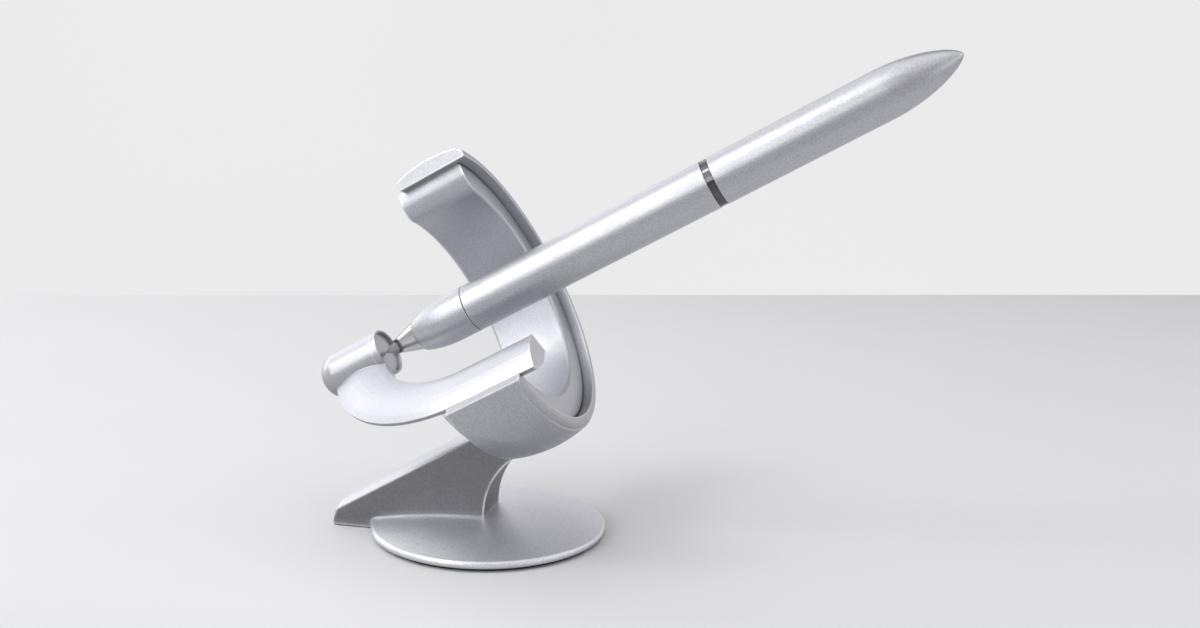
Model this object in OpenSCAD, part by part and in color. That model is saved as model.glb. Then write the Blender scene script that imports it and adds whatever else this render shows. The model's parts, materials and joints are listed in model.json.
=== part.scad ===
/* [Pose of the pen] */
// Tilt of the pen above the desk, in degrees
pen_tilt = 29; // [25:0.5:33]
// Distance of the contact point in front of the centre of the disc
contact_back = 22.8; // [21:0.2:25]
// Height of the contact point above the desk
contact_height = 37.1; // [36:0.2:40]

/* [Pen outside] */
// Diameter of the pen
pen_d = 10; // [9:0.1:11]
// Length of the pen from its point to its tail
pen_length = 129.4; // [125:0.5:140]
// Where the cone ends and the nose section begins, from the point
nose_from = 8.7; // [8:0.1:9.5]
// Diameter of the front end of the nose section
nose_end_d = 7.2; // [6.8:0.1:7.6]
// Length over which the nose section narrows
nose_taper = 9; // [7:0.5:11]
// Position of the fine seam behind the nose section
seam_at = 21.7; // [21:0.1:23]
// Width of the fine seam
seam_w = 0.2; // [0.1:0.05:0.4]
// Depth of the groove along the fine seam
seam_depth = 0.3; // [0.2:0.05:0.5]
// Position of the centre band
band_at = 77.1; // [75:0.5:79]
// Width of the centre band
band_w = 1.65; // [1.2:0.05:2.4]
// How far the centre band lies below the barrels
band_inset = 0.08; // [0.04:0.02:0.2]
// Fine gap on each side of the centre band
band_gap = 0.1; // [0.05:0.05:0.2]
// Length of the pointed tail
tail_taper = 16; // [14:0.5:20]

/* [Pen inside] */
// Wall of the barrels
barrel_wall = 0.7; // [0.6:0.05:0.9]
// Clearance between parts that turn or slide in the pen
run_gap = 0.05; // [0.03:0.01:0.09]
// Length of the spigot behind the nose section
spigot_l = 2.2; // [1.8:0.1:2.8]
// Diameter of the refill tube
refill_d = 2.35; // [2.2:0.05:2.5]
// Length of the refill
refill_l = 67; // [66:0.5:68]
// Length of the metal point of the refill
refill_point_l = 11; // [10:0.5:12]
// Diameter of the writing ball
ball_d = 0.6; // [0.5:0.05:0.65]
// Travel of the refill
refill_travel = 5; // [4:0.5:5.5]
// Turn of the upper barrel that draws the refill in, in degrees
twist_angle = 180; // [160:10:180]
// Outer diameter of the pen magnet
pen_magnet_d = 7; // [6.6:0.1:7.2]
// Bore of the pen magnet
pen_magnet_bore = 3.4; // [3.2:0.1:4]
// Length of the pen magnet
pen_magnet_l = 10; // [8:0.5:11]
// Diameter of the spring wire
spring_wire = 0.4; // [0.3:0.05:0.5]
// Turns of the spring
spring_turns = 6; // [5:1:7]

/* [Ring] */
// Inner diameter of the ring
ring_bore_d = 47.7; // [46:0.1:49]
// Radial thickness of the liner
liner_t = 5.95; // [5.5:0.05:6.5]
// Start of the liner along the pen, from the contact point
liner_from = 15.3; // [14.5:0.1:16]
// Width of the liner along the pen
liner_w = 15.7; // [15:0.1:16.2]
// Start of the shell along the pen, from the contact point
shell_from = 17; // [16.5:0.1:17.5]
// Width of the shell along the pen
shell_w = 16.2; // [15.8:0.1:17]
// Thickness of the shell at its edges
shell_t = 2.1; // [1.8:0.05:2.6]
// Rise of the crown on the outside of the shell
shell_crown = 1.3; // [0.9:0.1:1.6]
// Angle of the near end of the ring, from straight down
ring_near_angle = 60; // [56:1:64]
// Angle of the top end of the ring, from straight down
ring_top_angle = 166.8; // [160:0.5:172]
// How far the liner stops short of the shell at the top end, in degrees
liner_short_angle = 3.6; // [3:0.2:5]
// Radius of the rounded top end of the liner
liner_end_r = 4.4; // [4:0.1:5]
// How far the crown has faded where the shell meets the arm
crown_fade = 1.7; // [1.3:0.05:1.9]
// Angle along the ring over which the crown fades
crown_fade_angle = 24; // [18:1:30]
// Diameter of the ring magnets
ring_magnet_d = 8; // [7:0.5:9]
// Thickness of the ring magnets
ring_magnet_t = 3; // [2.5:0.1:3.4]

/* [Front arm] */
// Angle of the plane of the arm, from straight down
arm_angle = 58; // [56:0.5:59]
// Radius of the inner curve of the arm
arm_in_r = 19.9; // [19.5:0.1:20.5]
// Where the curve of the arm ends and its straight part begins
arm_turn_at = 20; // [19.6:0.1:20.6]
// Reach of the outer curve of the arm in front of the turn
arm_reach = 32; // [31.5:0.1:32.4]
// Rear end of the arm along the pen
arm_end_at = 36.2; // [35:0.2:38]
// Height of the edges of the arm above its plane
arm_rise = 0.9; // [0.7:0.05:1]
// Rise of the crown on the top of the arm
arm_crown = 1.2; // [0.8:0.1:1.5]
// Height of the thin outer edge of the arm
arm_edge_t = 0.8; // [0.6:0.05:1]
// Depth of the keel under the arm
arm_keel = 3.8; // [3:0.1:4.2]

/* [Tip cup] */
// Diameter of the cup
cup_d = 10; // [9.6:0.1:10.4]
// Length of the cup behind its collar
cup_l = 14.3; // [14:0.1:15]
// Radius of the rounded end of the cup
cup_end_r = 4.2; // [3.6:0.1:4.6]
// Wall of the cup
cup_wall = 0.75; // [0.65:0.05:0.85]
// How far the collar stands in front of the contact disc
cup_recess = 0.7; // [0.5:0.05:0.9]
// Width of the face of the collar
collar_w = 0.6; // [0.5:0.05:0.7]
// Thickness of the contact disc
contact_t = 0.8; // [0.6:0.1:1.2]
// Length of the magnet in the cup
cup_magnet_l = 5; // [4:0.5:5.5]

/* [Base] */
// Diameter of the base disc
disc_d = 49.4; // [49:0.2:54]
// Height of the crown of the disc above the desk
disc_height = 4.6; // [4.2:0.1:5.2]
// Height of the rim of the disc
rim_t = 1.7; // [1.5:0.1:2]
// Thickness of the pad under the disc
pad_t = 0.6; // [0.5:0.1:1]
// How far the pad lies inside the rim
pad_inset = 1.4; // [1:0.1:2]

/* [Support fin] */
// Thickness of the fin
fin_t = 11; // [9:0.5:13]
// Rise of the crown along the top of the fin
fin_crown = 1.65; // [1:0.05:2]
// Reach of the toe in front of the centre of the disc
toe_reach = 33.3; // [32:0.1:35]
// Height of the front of the toe
toe_h = 3.3; // [2.8:0.1:4]
// Clearance of the toe above the desk
toe_gap = 0.2; // [0.1:0.05:0.4]
// How far the front of the toe leans back, in degrees
toe_lean = 17; // [12:1:20]
// How much steeper the top of the fin is than the pen, in degrees
fin_extra_tilt = 1.2; // [0:0.2:1.4]
// Radius of the hollow at the back of the fin
fin_hollow_r = 15.6; // [15:0.2:16.5]

/* [Hidden] */
$fn = 96;

// Clearance between fixed parts that are pressed or bonded
fit_gap = 0.02;
// Cuts reach this far past the faces that they open
overrun = 1;
// Axial running clearance
end_gap = 0.1;
// Visible shadow gap between the arm and the shell
arm_gap = 0.3;

// Radii worked out from the diameters
pen_r = pen_d / 2;
bore_r = pen_r - barrel_wall;
sleeve_r = bore_r - run_gap;
liner_in_r = ring_bore_d / 2;
liner_out_r = liner_in_r + liner_t;
shell_out_r = liner_out_r + shell_t;
crown_r = shell_out_r + shell_crown;
lip_r = shell_t / 2;
shell_mid = shell_from + shell_w / 2;
liner_mid = liner_from + liner_w / 2;
// Radius of the arc through both edges and the crown of the shell
shell_arc_r = (pow(shell_w / 2, 2) + pow(shell_crown, 2)) / (2 * shell_crown);
cup_r = cup_d / 2;
disc_r = disc_d / 2;
pad_r = disc_r - pad_inset;

// Unit vectors of the pen in the upright plane of the part: along it, and down across it
along = [cos(pen_tilt), sin(pen_tilt)];
down = [sin(pen_tilt), -cos(pen_tilt)];
contact = [-contact_back, contact_height];
function at(s, r) = contact + s * along + r * down;

// Places shapes on the pen: z runs from the point to the tail, x is down and y is the far side
module on_pen() {
  translate([-contact_back, 0, contact_height]) rotate([0, 90 - pen_tilt, 0]) children();
}

// A round part on the pen axis from an outline in radius and distance
module turned(angle = 360, start = 0) {
  rotate_extrude(angle = angle, start = start) children();
}

// A tube on the pen axis
module tube(from, length, r_out, r_in) {
  translate([0, 0, from]) difference() {
    cylinder(r = r_out, h = length);
    translate([0, 0, -overrun]) cylinder(r = r_in, h = length + 2 * overrun);
  }
}

// A rectangle with round corners
module soft_rect(w, h, r) {
  translate([r, 0]) square([w - 2 * r, h]);
  translate([0, r]) square([w, h - 2 * r]);
  for (x = [r, w - r], y = [r, h - r]) translate([x, y]) circle(r = r);
}

// Base

// Radius of the sphere that domes the disc, from its rise over its radius
rim_r = rim_t / 2;
dome_top_r = disc_r - rim_r;
dome_rise = disc_height - pad_t - rim_t;
dome_r = (pow(dome_top_r, 2) + pow(dome_rise, 2)) / (2 * dome_rise);

// Half of the disc's section, which reaches down to z = bottom
module disc_outline(bottom) {
  intersection() {
    translate([0, pad_t]) square([dome_top_r, disc_height]);
    translate([0, disc_height - dome_r]) circle(r = dome_r, $fn = 360);
  }
  translate([dome_top_r, pad_t + rim_r]) circle(r = rim_r);
  translate([0, bottom]) square([bottom < 0 ? disc_r : dome_top_r, pad_t + rim_r - bottom]);
}

base_screw_d = 3;
base_screw_head_d = 5.6;
base_screw_head_t = 1.5;
base_screw_l = 8.5;
base_screw_shares = [-0.62, -0.24];

module base_screw_places() {
  for (share = base_screw_shares) translate([share * disc_r, 0, pad_t]) children();
}

module base_screw(gap) {
  cylinder(r1 = base_screw_head_d / 2 + gap, r2 = base_screw_d / 2 + gap, h = base_screw_head_t);
  cylinder(r = base_screw_d / 2 + gap, h = base_screw_l + gap);
}

module base_disc() {
  color([0.78, 0.78, 0.83]) difference() {
    rotate_extrude() disc_outline(pad_t);
    base_screw_places() base_screw(fit_gap);
  }
}

module base_pad() {
  color([0.08, 0.08, 0.09]) cylinder(r = pad_r, h = pad_t);
}

module base_screws() {
  color([0.6, 0.6, 0.62]) base_screw_places() base_screw(0);
}

// Support fin

fin_tilt = pen_tilt + fin_extra_tilt;
toe_dir = [sin(toe_lean), cos(toe_lean)];
toe_front = [-toe_reach, toe_gap];
toe_top = toe_front + toe_h / cos(toe_lean) * toe_dir;
// The top edge runs from the toe to the front face of the ring
fin_run = (liner_from - (toe_top - contact) * along) / cos(fin_extra_tilt);
fin_top_end = toe_top + fin_run * [cos(fin_tilt), sin(fin_tilt)];
// The same edge along the top of the crown
fin_lift = fin_crown * [-sin(fin_tilt), cos(fin_tilt)];
toe_crown_top = toe_top + fin_crown / cos(toe_lean + fin_tilt) * toe_dir;
fin_crown_r = (pow(fin_t / 2, 2) + pow(fin_crown, 2)) / (2 * fin_crown);
fin_edge_r = 0.6;
toe_edge_r = 1.2;
// The hollow ends on the front edge of the shell, at a share of its thickness, and stands upright on the disc
hollow_meet_share = 0.7;
hollow_top = at(shell_from, liner_out_r + hollow_meet_share * shell_t);
hollow_z = disc_height + fin_edge_r;
hollow_x = hollow_top[0] + sqrt(pow(fin_hollow_r, 2) - pow(hollow_top[1] - hollow_z, 2));

// Side outline of the fin, up to the top of its crown
module fin_outline() {
  difference() {
    polygon([toe_front, toe_crown_top, fin_top_end + fin_lift, at(shell_mid, liner_out_r), [hollow_x, toe_gap]]);
    translate([hollow_x, hollow_z]) circle(r = fin_hollow_r, $fn = 180);
    translate([hollow_x - fin_hollow_r, toe_gap - overrun])
      square([2 * fin_hollow_r, hollow_z - toe_gap + overrun]);
  }
}

// Section across the fin: x is the thickness, y the height, and the crowned top has soft edges
module fin_section(depth) {
  inner_r = fin_crown_r - fin_edge_r;
  edge_x = fin_t / 2 - fin_edge_r;
  edge_y = sqrt(pow(inner_r, 2) - pow(edge_x, 2));
  reach = (fin_crown_r + overrun) / inner_r;
  translate([0, fin_crown - fin_crown_r]) {
    intersection() {
      circle(r = fin_crown_r);
      polygon([[0, 0], reach * [edge_x, edge_y], reach * [-edge_x, edge_y]]);
    }
    for (x = [-edge_x, edge_x]) translate([x, edge_y]) circle(r = fin_edge_r);
    translate([-fin_t / 2, -depth]) square([fin_t, depth + edge_y]);
  }
}

// The space that the ring takes, filled to its axis
module ring_space() {
  on_pen() {
    turned() shell_outline(0);
    translate([0, 0, liner_from]) cylinder(r = liner_out_r, h = disc_d);
    translate([0, 0, shell_from]) cylinder(r = shell_out_r, h = disc_d);
  }
}

fin_dowel_d = 2.5;
fin_dowel_l = 12;
fin_dowel_r = liner_out_r - liner_t / 2;
fin_dowel_y = fin_t / 4;

// The two dowels that join the fin to the ring, in the frame of the pen
module fin_dowel_pair(gap) {
  for (y = [-fin_dowel_y, fin_dowel_y]) translate([fin_dowel_r, y, liner_from - fin_dowel_l / 2 - gap])
    cylinder(r = fin_dowel_d / 2 + gap, h = fin_dowel_l + 2 * gap);
}

module support_fin() {
  fin_l = 2 * disc_d;
  color([0.62, 0.62, 0.66]) difference() {
    intersection() {
      rotate([90, 0, 0]) linear_extrude(height = fin_t, center = true) fin_outline();
      translate([toe_top[0], 0, toe_top[1]]) rotate([0, -fin_tilt, 0]) translate([-disc_r, 0, 0])
        rotate([90, 0, 90]) linear_extrude(height = fin_l) fin_section(disc_d);
      linear_extrude(height = disc_d) toe_plan();
    }
    ring_space();
    rotate_extrude() disc_outline(-overrun);
    base_screw_places() base_screw(fit_gap);
    on_pen() fin_dowel_pair(fit_gap);
  }
}

// Seen from above, the front corners of the toe are round
module toe_plan() {
  translate([-toe_reach, -fin_t / 2]) soft_rect(2 * disc_d, fin_t, toe_edge_r);
}

module fin_dowels() {
  color([0.65, 0.65, 0.67]) on_pen() fin_dowel_pair(0);
}

// Ring

// Section of the shell in radius and distance, from radius r_in outwards
module shell_outline(r_in) {
  intersection() {
    translate([crown_r - shell_arc_r, shell_mid]) circle(r = shell_arc_r, $fn = 360);
    // The lip on the tail side is round, the front edge is crisp
    union() {
      translate([r_in, shell_from]) square([crown_r - r_in, shell_w - lip_r]);
      translate([r_in, shell_from]) square([liner_out_r + lip_r - r_in, shell_w]);
      translate([liner_out_r + lip_r, shell_from + shell_w - lip_r]) circle(r = lip_r);
    }
  }
}

// The circle that the outside follows where the crown fades, through the end and the full crown
fade_r_share = 0.8;
fade_r = fade_r_share * crown_r;
fade_end = [crown_r - crown_fade, 0];
fade_chord = crown_r * [cos(crown_fade_angle), sin(crown_fade_angle)] - fade_end;
fade_across = [-fade_chord[1], fade_chord[0]] / norm(fade_chord);
fade_centre = fade_end + fade_chord / 2 + sqrt(pow(fade_r, 2) - pow(norm(fade_chord) / 2, 2)) * fade_across;

// The material outside that circle
module crown_fade_cut() {
  far = 2 * crown_r;
  wide_angle = 1.5 * crown_fade_angle;
  rotate([0, 0, -ring_near_angle]) translate([0, 0, shell_from - overrun])
    linear_extrude(height = shell_w + 2 * overrun) difference() {
      polygon([[0, 0], [far, -overrun], far * [cos(wide_angle), sin(wide_angle)]]);
      translate(fade_centre) circle(r = fade_r, $fn = 360);
    }
}

module ring_shell() {
  color([0.75, 0.75, 0.80]) on_pen() difference() {
    turned(ring_near_angle + ring_top_angle, -ring_near_angle) shell_outline(liner_out_r);
    crown_fade_cut();
  }
}

liner_edge_r = 0.7;
// The liner ends level with the plane of the arm
liner_near_angle = arm_angle;
liner_top_angle = ring_top_angle - liner_short_angle;

ring_magnet_angles = [-20, 25, 70, 115];
magnet_top_r = sqrt(pow(liner_out_r, 2) - pow(ring_magnet_d / 2, 2)) - fit_gap;

// Places shapes at the magnets, with z along the radius of the ring
module ring_magnet_places() {
  for (a = ring_magnet_angles) rotate([0, 0, a]) translate([0, 0, liner_mid]) rotate([0, 90, 0]) children();
}

// The corner outside the round top end of the liner, in the plane of the ring
module liner_end_cut() {
  centre = [sqrt(pow(liner_in_r + liner_end_r, 2) - pow(liner_end_r, 2)), -liner_end_r];
  touch = (liner_in_r - overrun) / (liner_in_r + liner_end_r) * centre;
  rotate([0, 0, liner_top_angle]) translate([0, 0, liner_from - overrun])
    linear_extrude(height = liner_w + 2 * overrun) difference() {
      polygon([touch, centre, [centre[0], overrun], [touch[0], overrun]]);
      translate(centre) circle(r = liner_end_r);
    }
}

module ring_liner() {
  color([0.83, 0.83, 0.87]) on_pen() difference() {
    turned(liner_near_angle + liner_top_angle, -liner_near_angle)
      translate([liner_in_r, liner_from]) soft_rect(liner_t, liner_w, liner_edge_r);
    liner_end_cut();
    arm_space();
    ring_magnet_places() translate([0, 0, magnet_top_r - ring_magnet_t - fit_gap])
      cylinder(r = ring_magnet_d / 2 + fit_gap, h = liner_t);
    arm_pin_places() arm_pin(fit_gap);
    fin_dowel_pair(fit_gap);
  }
}

module ring_magnets() {
  color([0.7, 0.7, 0.72]) on_pen() ring_magnet_places()
    translate([0, 0, magnet_top_r - ring_magnet_t]) cylinder(r = ring_magnet_d / 2, h = ring_magnet_t);
}

// Front arm

arm_out_r = liner_out_r - arm_gap;
arm_steps = 20;
arm_cuts = 8;
arm_bulge_share = 2.2;
arm_keel_front_share = 0.5;

// In the plane of the arm, x is the radius, y is away from the viewer and z is along the pen
module on_arm() {
  rotate([0, 0, -arm_angle]) children();
}

// Height of the top and of the underside above the plane, at a share w of the width
function arm_top(w) = arm_rise + 4 * arm_crown * w * (1 - w);
function arm_under(w, keel) = arm_rise - arm_edge_t - (keel + arm_rise - arm_edge_t) * (1 - pow(w, arm_bulge_share));

// Inner and outer edges at a turn of t degrees round the curve, as radius and distance
function arm_inner(t) = [arm_in_r * sin(t), arm_turn_at - arm_in_r * cos(t)];
function arm_outer(t) = [arm_out_r * sin(t), arm_turn_at - arm_reach * cos(t)];

// Outline of one cut across the arm, as pairs of a share of the width and a height
function arm_cut(keel) = concat(
  [for (i = [0:arm_cuts]) [i / arm_cuts, arm_top(i / arm_cuts)]],
  [for (i = [arm_cuts:-1:0]) [i / arm_cuts, arm_under(i / arm_cuts, keel)]]);

// The keel is shallow at the cup and full at the ring
function arm_keel_at(t) = arm_keel * (arm_keel_front_share + (1 - arm_keel_front_share) * sin(t));

function arm_ring(t, slide) = [for (c = arm_cut(arm_keel_at(t)))
  let (p = arm_inner(t) * (1 - c[0]) + arm_outer(t) * c[0]) [p[0], -c[1], p[1] + slide]];

arm_rings = concat(
  [for (i = [0:arm_steps]) arm_ring(90 * i / arm_steps, 0)],
  [arm_ring(90, arm_end_at - arm_turn_at)]);

// Skins a row of rings of equal length into a closed solid
module skin(rings) {
  n = len(rings[0]);
  last = len(rings) - 1;
  sides = [for (k = [0:last - 1], i = [0:n - 1])
    let (j = (i + 1) % n) [k * n + i, k * n + j, (k + 1) * n + j, (k + 1) * n + i]];
  caps = [[for (i = [n - 1:-1:0]) i], [for (i = [0:n - 1]) last * n + i]];
  polyhedron(points = [for (r = rings, p = r) p], faces = concat(sides, caps));
}

// The straight part of the arm as a bar, which the liner makes room for
module arm_space() {
  on_arm() translate([0, 0, liner_from - overrun]) linear_extrude(height = arm_end_at)
    polygon([for (c = arm_cut(arm_keel)) [arm_in_r + (arm_out_r - arm_in_r) * c[0], -c[1]]]);
}

arm_pin_d = 2;
arm_pin_l = 7.5;
arm_pin_start = 0.6;
arm_pin_across_share = 0.68;
arm_pin_shares = [0.28, 0.72];

module arm_pin_places() {
  on_arm() for (share = arm_pin_shares)
    translate([arm_in_r + arm_pin_across_share * (arm_out_r - arm_in_r), -arm_pin_start, liner_from + share * liner_w])
      rotate([-90, 0, 0]) children();
}

module arm_pin(gap) {
  translate([0, 0, -gap]) cylinder(r = arm_pin_d / 2 + gap, h = arm_pin_l + 2 * gap);
}

module arm_pins() {
  color([0.65, 0.65, 0.67]) on_pen() arm_pin_places() arm_pin(0);
}

module front_arm() {
  color([0.86, 0.86, 0.90]) on_pen() difference() {
    on_arm() skin(arm_rings);
    turned() cup_outline();
    translate([0, 0, cup_front]) cylinder(r = cup_r, h = arm_in_r);
    arm_pin_places() arm_pin(fit_gap);
    cup_screw_place() cup_screw_body(fit_gap);
  }
}

// Tip cup

cup_front = -contact_t - end_gap;
cup_bore_r = cup_r - cup_wall;
cup_hollow_l = cup_l - cup_end_r - cup_wall;
collar_in_r = cup_r - collar_w;

// Outline of the cup in radius and distance, filled to its axis
module cup_outline() {
  intersection() {
    translate([0, cup_front - cup_l]) square([cup_r, cup_l]);
    union() {
      translate([0, cup_front - cup_l + cup_end_r]) square([cup_r, cup_l - cup_end_r]);
      translate([0, cup_front - cup_l]) square([cup_r - cup_end_r, cup_l]);
      translate([cup_r - cup_end_r, cup_front - cup_l + cup_end_r]) circle(r = cup_end_r);
    }
  }
}

module tip_cup() {
  color([0.82, 0.82, 0.87]) on_pen() difference() {
    turned() cup_outline();
    translate([0, 0, cup_front - cup_hollow_l]) cylinder(r = cup_bore_r, h = cup_hollow_l + overrun);
    cup_screw_place() cup_screw_body(fit_gap);
  }
}

// The collar has a round front edge and a square seat
module cup_collar() {
  collar_edge_r = collar_w / 2;
  height = cup_recess - cup_front - collar_edge_r;
  color([0.84, 0.84, 0.88]) on_pen() turned() translate([collar_in_r, cup_front]) {
    square([collar_w, height]);
    translate([collar_edge_r, height]) circle(r = collar_edge_r);
  }
}

module cup_magnet() {
  color([0.7, 0.7, 0.72]) on_pen()
    translate([0, 0, cup_front - cup_magnet_l]) cylinder(r = cup_bore_r - fit_gap, h = cup_magnet_l);
}

cup_screw_d = 1.4;
cup_screw_head_d = 2.4;
cup_screw_head_t = 0.7;
cup_screw_l = 4.8;
cup_screw_rise = 0.3;
cup_screw_clear = 0.3;

// The screw goes from the hollow behind the magnet through the wall into the arm
module cup_screw_place() {
  on_arm() translate([cup_bore_r - cup_screw_head_t, -cup_screw_rise,
    cup_front - cup_magnet_l - cup_screw_head_d / 2 - cup_screw_clear]) rotate([0, 90, 0]) children();
}

module cup_screw_body(gap) {
  translate([0, 0, -gap]) cylinder(r = cup_screw_head_d / 2 + gap, h = cup_screw_head_t + 2 * gap);
  cylinder(r = cup_screw_d / 2 + gap, h = cup_screw_l + gap);
}

module cup_screw() {
  color([0.6, 0.6, 0.62]) on_pen() cup_screw_place() cup_screw_body(0);
}

module contact_disc() {
  color([0.6, 0.6, 0.63]) on_pen()
    translate([0, 0, -contact_t]) cylinder(r = collar_in_r - run_gap, h = contact_t);
}

// Point of the refill

// The point of the pen hangs this far in front of the contact disc
point_gap = 0.1;
profile_steps = 20;
ball_r = ball_d / 2;
neck_r = ball_r;
neck_l = 4.8;
point_r = refill_d / 2 - fit_gap;
shoulder_l = 1.8;
shoulder_at = point_gap + ball_r + neck_l;
tube_from = point_gap + refill_point_l;
tube_end = point_gap + refill_l;

module point_ball() {
  color([0.5, 0.5, 0.5]) on_pen() translate([0, 0, point_gap + ball_r]) sphere(r = ball_r, $fn = 48);
}

module refill_point() {
  neck_from = point_gap + ball_r;
  color([0.8, 0.68, 0.4]) on_pen() difference() {
    turned() polygon([[0, neck_from], [neck_r + fit_gap, neck_from], [neck_r, neck_from + ball_d],
      [neck_r, shoulder_at], [point_r, shoulder_at + shoulder_l], [point_r, tube_from], [0, tube_from]]);
    translate([0, 0, neck_from]) sphere(r = ball_r, $fn = 48);
  }
}

// Front of the pen

cone_tip_back = 1.2;
cone_tip_wall = 0.1;
cone_step = 0.5;
cone_bulge_share = 0.7;
cone_spigot_l = 3;
cone_from = point_gap + cone_tip_back;
cone_tip_r = neck_r + run_gap + cone_tip_wall;
cone_end_r = nose_end_d / 2 - cone_step;
cone_spigot_r = cone_end_r - cone_step;
cone_spigot_end = nose_from + cone_spigot_l;
refill_clear = 0.2;
shoulder_clear = 0.3;

// Radius of the cone at a share u of its length
function cone_r(u) = cone_tip_r + (cone_end_r - cone_tip_r) * pow(u, cone_bulge_share);

module tip_cone() {
  cone_l = nose_from - cone_from;
  color([0.75, 0.75, 0.77]) on_pen() difference() {
    union() {
      turned() polygon(concat([[0, cone_from]],
        [for (i = [0:profile_steps]) [cone_r(i / profile_steps), cone_from + cone_l * i / profile_steps]],
        [[0, nose_from]]));
      translate([0, 0, nose_from]) cylinder(r = cone_spigot_r, h = cone_spigot_l);
    }
    translate([0, 0, cone_from - overrun]) cylinder(r = neck_r + run_gap, h = nose_from);
    translate([0, 0, shoulder_at - shoulder_clear]) cylinder(r = refill_d / 2 + refill_clear, h = cone_spigot_end);
  }
}

nose_bulge_share = 2.3;
nose_lip_r = 0.25;
spring_room_r = refill_d / 2 + 2 * spring_wire + refill_clear;
spigot_end = seam_at + spigot_l;

// Radius of the nose section at a share u of its taper
function nose_r(u) = pen_r - (pen_r - nose_end_d / 2) * pow(1 - u, nose_bulge_share);

module nose_section() {
  color([0.80, 0.80, 0.85]) on_pen() difference() {
    union() {
      turned() polygon(concat([[0, nose_from], [nose_end_d / 2 - nose_lip_r, nose_from], [nose_end_d / 2, nose_from + nose_lip_r]],
        [for (i = [1:profile_steps]) [nose_r(i / profile_steps), nose_from + nose_taper * i / profile_steps]],
        [[pen_r, seam_at], [0, seam_at]]));
      translate([0, 0, cone_spigot_end]) cylinder(r = bore_r - fit_gap, h = spigot_end - cone_spigot_end);
    }
    translate([0, 0, nose_from - overrun]) cylinder(r = cone_spigot_r + fit_gap, h = cone_spigot_l + overrun);
    translate([0, 0, nose_from]) cylinder(r = spring_room_r, h = spigot_end);
  }
}

module lower_barrel() {
  color([0.80, 0.80, 0.85]) on_pen() difference() {
    tube(seam_at, band_at - seam_at, pen_r, bore_r);
    tube(seam_at - overrun, seam_w + overrun, pen_r + overrun, pen_r - seam_depth);
  }
}

module centre_band() {
  color([0.3, 0.3, 0.32]) on_pen()
    tube(band_at + band_gap, band_w - 2 * band_gap, pen_r - band_inset, sleeve_r + fit_gap);
}

magnet_wall = 1;
magnet_from = spigot_end + magnet_wall;

module pen_magnet() {
  color([0.7, 0.7, 0.72]) on_pen() tube(magnet_from, pen_magnet_l, pen_magnet_d / 2, pen_magnet_bore / 2);
}

// The sleeve is moulded round the magnet
module magnet_sleeve() {
  color([0.85, 0.82, 0.7]) on_pen() difference() {
    tube(spigot_end, pen_magnet_l + 2 * magnet_wall, bore_r - fit_gap, pen_magnet_bore / 2);
    tube(magnet_from - fit_gap, pen_magnet_l + 2 * fit_gap, pen_magnet_d / 2 + fit_gap, 0);
  }
}

// Spring between the cone and the collar of the refill

refill_collar_t = 0.8;
refill_collar_at = spigot_end - end_gap - refill_collar_t - refill_travel;
refill_collar_r = spring_room_r - refill_clear;
spring_r = (refill_d + spring_wire + refill_clear) / 2;
spring_sides = 6;
spring_turn_steps = 10;

function spring_centre(a, s) = [spring_r * cos(a), spring_r * sin(a), s];

module refill_spring() {
  start = cone_spigot_end + spring_wire / 2 + fit_gap;
  rise = refill_collar_at - spring_wire / 2 - fit_gap - start;
  steps = spring_turns * spring_turn_steps;
  rings = [for (k = [0:steps])
    let (a = 360 * spring_turns * k / steps, c = spring_centre(a, start + rise * k / steps))
    [for (i = [0:spring_sides - 1])
      let (b = 360 * i / spring_sides)
      c + spring_wire / 2 * [cos(a) * cos(b), sin(a) * cos(b), sin(b)]]];
  color([0.7, 0.7, 0.72]) on_pen() skin(rings);
}

module refill_tube() {
  color([0.75, 0.75, 0.78]) on_pen() {
    translate([0, 0, tube_from]) cylinder(r = refill_d / 2, h = tube_end - tube_from);
    translate([0, 0, refill_collar_at]) cylinder(r = refill_collar_r, h = refill_collar_t);
  }
}

// Twist mechanism

sleeve_bore_r = 3.2;
sleeve_front_l = 17;
sleeve_from = band_at - sleeve_front_l;
plunger_r = sleeve_bore_r - 2 * run_gap;
plunger_stem_r = refill_d;
plunger_cup_l = 6;
plunger_head_at = band_at + band_w;
plunger_head_l = 2;
finger_half_angle = 8;
finger_spare = 0.6;
finger_l = refill_travel + finger_spare;
finger_gap = 0.35;
cam_bore_r = 1.65;
cam_r = plunger_r - run_gap;
key_w = 1.6;
key_r = sleeve_r - end_gap;
cam_face = plunger_head_at + plunger_head_l + finger_l + finger_gap;
cam_flat_angle = 10;
cam_steps = 36;
cam_web = 1;
cam_flange_l = 4;
sleeve_end = cam_face + refill_travel + cam_web;
cam_flange_at = sleeve_end + end_gap;
retainer_l = 8;
retainer_at = cam_flange_at + cam_flange_l;

module twist_sleeve() {
  slot_w = key_w + 2 * run_gap;
  color([0.75, 0.72, 0.6]) on_pen() difference() {
    tube(sleeve_from, sleeve_end - sleeve_from, sleeve_r, sleeve_bore_r);
    translate([-pen_r, -slot_w / 2, plunger_head_at - finger_gap]) cube([pen_r, slot_w, sleeve_end]);
  }
}

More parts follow.
